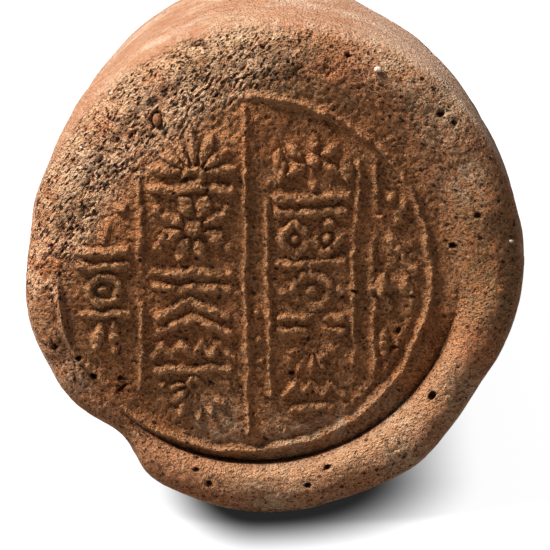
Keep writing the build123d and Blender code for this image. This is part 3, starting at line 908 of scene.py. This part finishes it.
def clayFinish(name):
    material, tree, shader = nodesFor(name)
    where = tree.nodes.new("ShaderNodeTexCoord").outputs["Object"]
    at = {key: valueOf(tree, key) for key in
          ("hollow", "rough", "wiped", "coarse", "band", "worn", "crest", "station", "turn", "olive", "ruddy", "dusty")}

    def times(first, second):
        return sums(tree, "MULTIPLY", first, second)

    # pits of three kinds: pinholes, fewer wide ones, and slots left by chaff that lie one way
    bent = bentSpace(tree, where, 0.7, 0.6)
    pinholes = pitsOf(tree, bent, 0.7, 0.8, 0.1, 0.46)
    fineHoles = pitsOf(tree, bent, 0.42, 0.7, 0.1, 0.5)
    wide = pitsOf(tree, bent, 1.8, 0.3, 0.1, 0.26)
    slots = pitsOf(tree, stretched(tree, bent, 54.0, 0.32), 0.6, 0.75, 0.1, 0.48)
    crossed = pitsOf(tree, stretched(tree, bent, -14.0, 0.4), 0.62, 0.4, 0.1, 0.42)
    chaffy = sums(tree, "ADD", 0.4, times(at["worn"], 0.8))
    slots = times(slots, chaffy)
    plain = sums(tree, "SUBTRACT", 1.0, times(at["wiped"], 0.15))
    plain = times(plain, sums(tree, "SUBTRACT", 1.0, times(at["band"], 0.25)))
    pitted = times(weighted(tree, [(pinholes, 0.66), (fineHoles, 0.45), (wide, 0.95), (slots, 0.85), (crossed, 0.45)]), plain)
    pitted = times(pitted, sums(tree, "ADD", 0.8, times(at["rough"], 0.45)))

    clouds = ranged(tree, noiseOf(tree, where, 9.0, 4.0, 0.6), 0.4, 0.64)
    patches = ranged(tree, noiseOf(tree, where, 4.0, 4.0, 0.65, 0.6), 0.42, 0.66)
    grain = ranged(tree, noiseOf(tree, where, 0.5, 3.0, 0.75), 0.42, 0.58)
    speck = ranged(tree, noiseOf(tree, where, 0.8, 4.0, 0.75), 0.5, 0.66)
    dark = times(sums(tree, "SUBTRACT", 1.0, grain), 0.45)
    # coarse clay: ruddy clouds, dark grain, pale crumbs in random specks, and pale patches on the worn upper-left
    # shoulder that faces the key lamp, partly wear and partly painted highlight
    coarse = mixed(tree, clouds, clay["coarseMid"], clay["coarseRed"])
    coarse = mixed(tree, times(patches, 0.34), coarse, clay["coarseDark"])
    coarse = mixed(tree, dark, coarse, clay["coarseDark"])
    coarse = mixed(tree, times(speck, 0.42), coarse, clay["pale"])
    coarse = mixed(tree, times(at["worn"], ranged(tree, noiseOf(tree, where, 2.6, 5.0, 0.7), 0.38, 0.6)), coarse, clay["pale"])
    # fine clay: darker, and lighter on the raised crests
    fine = mixed(tree, clouds, clay["fineMid"], clay["fineRed"])
    fine = mixed(tree, times(patches, 0.36), fine, clay["fineDark"])
    fine = mixed(tree, dark, fine, clay["fineDark"])
    fine = mixed(tree, ranged(tree, at["crest"], 0.3, 0.85, 0.0, 0.5), fine, clay["fineCrest"])
    fine = mixed(tree, times(speck, 0.3), fine, clay["pale"])
    coarse = mixed(tree, ranged(tree, at["crest"], 0.2, 0.8, 0.0, 0.6), coarse, clay["band"])
    colour = mixed(tree, at["coarse"], fine, coarse)
    # a lighter tan band along the lip beside the crease
    colour = mixed(tree, times(at["band"], 0.6), colour, clay["band"])
    # wiped flank: pinkish slip in streaks round the turn, cream in clouds
    streakSpace = tree.nodes.new("ShaderNodeCombineXYZ")
    tree.links.new(times(at["turn"], 0.09), streakSpace.inputs[0])
    tree.links.new(times(at["station"], 0.17), streakSpace.inputs[1])
    streak = ranged(tree, noiseOf(tree, streakSpace.outputs[0], 1.5, 5.0, 0.65, 0.3), 0.44, 0.62)
    cream = ranged(tree, noiseOf(tree, where, 15.0, 5.0, 0.62), 0.46, 0.62)
    rightward = ranged(tree, sums(tree, "ABSOLUTE", sums(tree, "SUBTRACT", at["turn"], 0.125)), 0.03, 0.09, 0.85, 0.0)
    cream = sums(tree, "MAXIMUM", cream, rightward)
    slip = mixed(tree, streak, clay["slip"], clay["slipPale"])
    slip = mixed(tree, times(cream, 0.85), slip, clay["slipCream"])
    slip = mixed(tree, times(dark, 0.9), slip, clay["coarseRed"])
    slip = mixed(tree, times(patches, 0.45), slip, clay["coarseRed"])
    colour = mixed(tree, times(at["wiped"], 0.85), colour, slip)
    # stains and dust; the olive colour on the right rim is painted shade
    broken = ranged(tree, noiseOf(tree, where, 1.6, 4.0, 0.7), 0.34, 0.6)
    colour = mixed(tree, times(times(at["olive"], broken), 0.7), colour, clay["olive"])
    colour = mixed(tree, times(times(at["ruddy"], broken), 0.55), colour, clay["ruddy"])
    colour = mixed(tree, times(times(at["dusty"], broken), 0.72), colour, clay["dust"])
    # painted shade: the pits and the hollows are darkened nearly to black, standing in for the shade inside them
    colour = mixed(tree, times(pitted, sums(tree, "SUBTRACT", 1.0, times(at["wiped"], 0.3))), colour, clay["hole"])
    colour = mixed(tree, ranged(tree, at["hollow"], 0.4, 1.1, 0.0, 0.7), colour, clay["hole"])
    tree.links.new(colour, shader.inputs["Base Color"])
    shader.inputs["Roughness"].default_value = 0.95
    shader.inputs["Specular IOR Level"].default_value = 0.15
    # heights in millimetres: lumps, hair-fine marks lying two ways, and the pits
    hairs = ranged(tree, noiseOf(tree, stretched(tree, bent, 54.0, 0.22), 0.5, 2.0, 0.6), 0.34, 0.64)
    fibres = ranged(tree, noiseOf(tree, stretched(tree, bent, -10.0, 0.25), 0.45, 2.0, 0.6), 0.36, 0.64)
    lumps = noiseOf(tree, where, 1.3, 3.0, 0.75)
    crumbs = noiseOf(tree, where, 0.4, 3.0, 0.65)
    height = weighted(tree, [(lumps, 1.4), (crumbs, 1.35), (times(hairs, chaffy), 0.4), (fibres, 0.16), (pitted, -0.55)])
    tree.links.new(bumped(tree, times(height, plain), 1.0), shader.inputs["Normal"])
    return material


coarseMaterial = clayFinish("coarseClay")
fineMaterial = clayFinish("fineClay")


def stoneFinish(name, first, second, size):
    material, tree, shader = nodesFor(name)
    where = tree.nodes.new("ShaderNodeTexCoord").outputs["Object"]
    cloud = ranged(tree, noiseOf(tree, where, size, 4.0, 0.6), 0.35, 0.65)
    tree.links.new(mixed(tree, cloud, first, second), shader.inputs["Base Color"])
    shader.inputs["Roughness"].default_value = 0.85
    shader.inputs["Specular IOR Level"].default_value = 0.2
    tree.links.new(bumped(tree, noiseOf(tree, where, size * 0.5, 4.0, 0.6), 0.12), shader.inputs["Normal"])
    return material


pebbleMaterial = stoneFinish("pebbleStone", (0.16, 0.062, 0.026), (0.28, 0.115, 0.045), 0.6)
limeMaterial = stoneFinish("limeStone", (0.66, 0.54, 0.42), (0.42, 0.3, 0.2), 0.3)

for piece, material, node, slot in (
    (body, coarseMaterial, "cone_body", "coarse_clay"), (slab, fineMaterial, "face_slab", "fine_clay"),
    (pebble, pebbleMaterial, "dark_pebble", "pebble_stone"), (grits, limeMaterial, "lime_grits", "lime_stone"),
):
    piece.data.materials.append(material)
    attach(piece, "root")
    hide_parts(node)
print("pieces dressed")

# ---- floor, light and camera ----

studio = {
    "floorSize": 4.0, "floorSeen": 0.1, "floorBounce": 0.3, "world": 0.06, "floorGlow": 0.97,
    "keyPower": 38.0, "keySize": 0.42, "keyFrom": (-0.6, -0.05, 0.95),
    "topPower": 5.0, "topSize": 1.0, "topFrom": (0.0, 0.1, 1.3),
    "distance": 800.0, "tilt": 14.37, "frameWidth": 87.54,
    "aimRight": -0.23, "aimUp": -0.44, "aside": -0.52,
}

floorMesh = bpy.data.meshes.new("floor")
half = studio["floorSize"]
floorMesh.from_pydata([(-half, -half, 0), (half, -half, 0), (half, half, 0), (-half, half, 0)], [], [(0, 1, 2, 3)])
floor = bpy.data.objects.new("floor", floorMesh)
bpy.context.scene.collection.objects.link(floor)
floorMaterial, tree, shader = nodesFor("floorPaper")
rays = tree.nodes.new("ShaderNodeLightPath")
seen = sums(tree, "MAXIMUM", rays.outputs["Is Camera Ray"], sums(tree, "MAXIMUM", rays.outputs["Is Glossy Ray"], rays.outputs["Is Transmission Ray"]))
# the paper's own white glow, and a painted shadow: in an oval round the cone's foot the glow and the paper's colour
# fade nearly to black, so the dark there is painted and the lamps' cast shadow adds little to it
split = tree.nodes.new("ShaderNodeSeparateXYZ")
tree.links.new(tree.nodes.new("ShaderNodeTexCoord").outputs["Object"], split.inputs[0])
narrow = ranged(tree, split.outputs[1], -0.01, 0.12, 1.0, 0.35)
aside = sums(tree, "DIVIDE", sums(tree, "ADD", split.outputs[0], 0.003), narrow)
sideways = sums(tree, "MAXIMUM", sums(tree, "DIVIDE", aside, 0.0264), sums(tree, "DIVIDE", aside, -0.012))
ahead = sums(tree, "DIVIDE", sums(tree, "ADD", split.outputs[1], 0.0398), -0.023)
behind = sums(tree, "DIVIDE", sums(tree, "SUBTRACT", split.outputs[1], 0.09), 0.032)
lengthways = sums(tree, "MAXIMUM", sums(tree, "MAXIMUM", ahead, behind), 0.0)
paintedShadowOval = sums(tree, "SQRT", sums(tree, "ADD", sums(tree, "MULTIPLY", sideways, sideways), sums(tree, "MULTIPLY", lengthways, lengthways)))
# clear is nearly 0 inside the painted shadow and 1 outside it
clear = ranged(tree, paintedShadowOval, 0.7, 1.42, 0.02, 1.0)
tree.links.new(mixed(tree, seen, (studio["floorBounce"],) * 3, mixed(tree, clear, (0.0,) * 3, (studio["floorSeen"],) * 3)), shader.inputs["Base Color"])
glow = sums(tree, "MULTIPLY", clear, seen)
shader.inputs["Emission Color"].default_value = (1, 1, 1, 1)
tree.links.new(sums(tree, "MULTIPLY", glow, studio["floorGlow"]), shader.inputs["Emission Strength"])
shader.inputs["Roughness"].default_value = 1.0
shader.inputs["Specular IOR Level"].default_value = 0.0
floorMesh.materials.append(floorMaterial)

world = bpy.data.worlds.new("studioAir")
bpy.context.scene.world = world
world.use_nodes = True
tree = world.node_tree
tree.nodes.clear()
out = tree.nodes.new("ShaderNodeOutputWorld")
air = tree.nodes.new("ShaderNodeBackground")
rays = tree.nodes.new("ShaderNodeLightPath")
air.inputs["Color"].default_value = (1, 1, 1, 1)
seen = sums(tree, "MAXIMUM", rays.outputs["Is Camera Ray"], sums(tree, "MAXIMUM", rays.outputs["Is Glossy Ray"], rays.outputs["Is Transmission Ray"]))
tree.links.new(ranged(tree, seen, 0.0, 1.0, studio["world"], 1.0), air.inputs["Strength"])
tree.links.new(air.outputs["Background"], out.inputs["Surface"])

faceCentre = Vector(toFrame(np.array(0.0), np.array(0.0), np.array(0.0)).tolist())


def softLamp(name, power, size, place):
    lamp = bpy.data.lights.new(name, "AREA")
    lamp.energy, lamp.size, lamp.shape = power, size, "DISK"
    thing = bpy.data.objects.new(name, lamp)
    thing.location = faceCentre + Vector(place)
    thing.rotation_euler = (-Vector(place)).to_track_quat("-Z", "Y").to_euler()
    bpy.context.scene.collection.objects.link(thing)
    return thing


softLamp("key", studio["keyPower"], studio["keySize"], studio["keyFrom"])
softLamp("top", studio["topPower"], studio["topSize"], studio["topFrom"])

elevation = lie + np.radians(studio["tilt"])
look = Vector((0, np.cos(elevation), -np.sin(elevation)))
look.rotate(Euler((0, 0, np.radians(studio["aside"]))))
right = look.cross(Vector((0, 0, 1))).normalized()
up = right.cross(look)
aim = faceCentre + right * studio["aimRight"] * mm + up * studio["aimUp"] * mm
lens = bpy.data.cameras.new("camera")
lens.sensor_width = 36.0
lens.lens = 36.0 * studio["distance"] / studio["frameWidth"]
lens.clip_start, lens.clip_end = 0.01, 20.0
camera = bpy.data.objects.new("camera", lens)
camera.location = aim - look * studio["distance"] * mm
camera.rotation_euler = look.to_track_quat("-Z", "Y").to_euler()
bpy.context.scene.collection.objects.link(camera)
bpy.context.scene.camera = camera
bpy.context.scene.view_settings.view_transform = "Standard"
print("stage set")
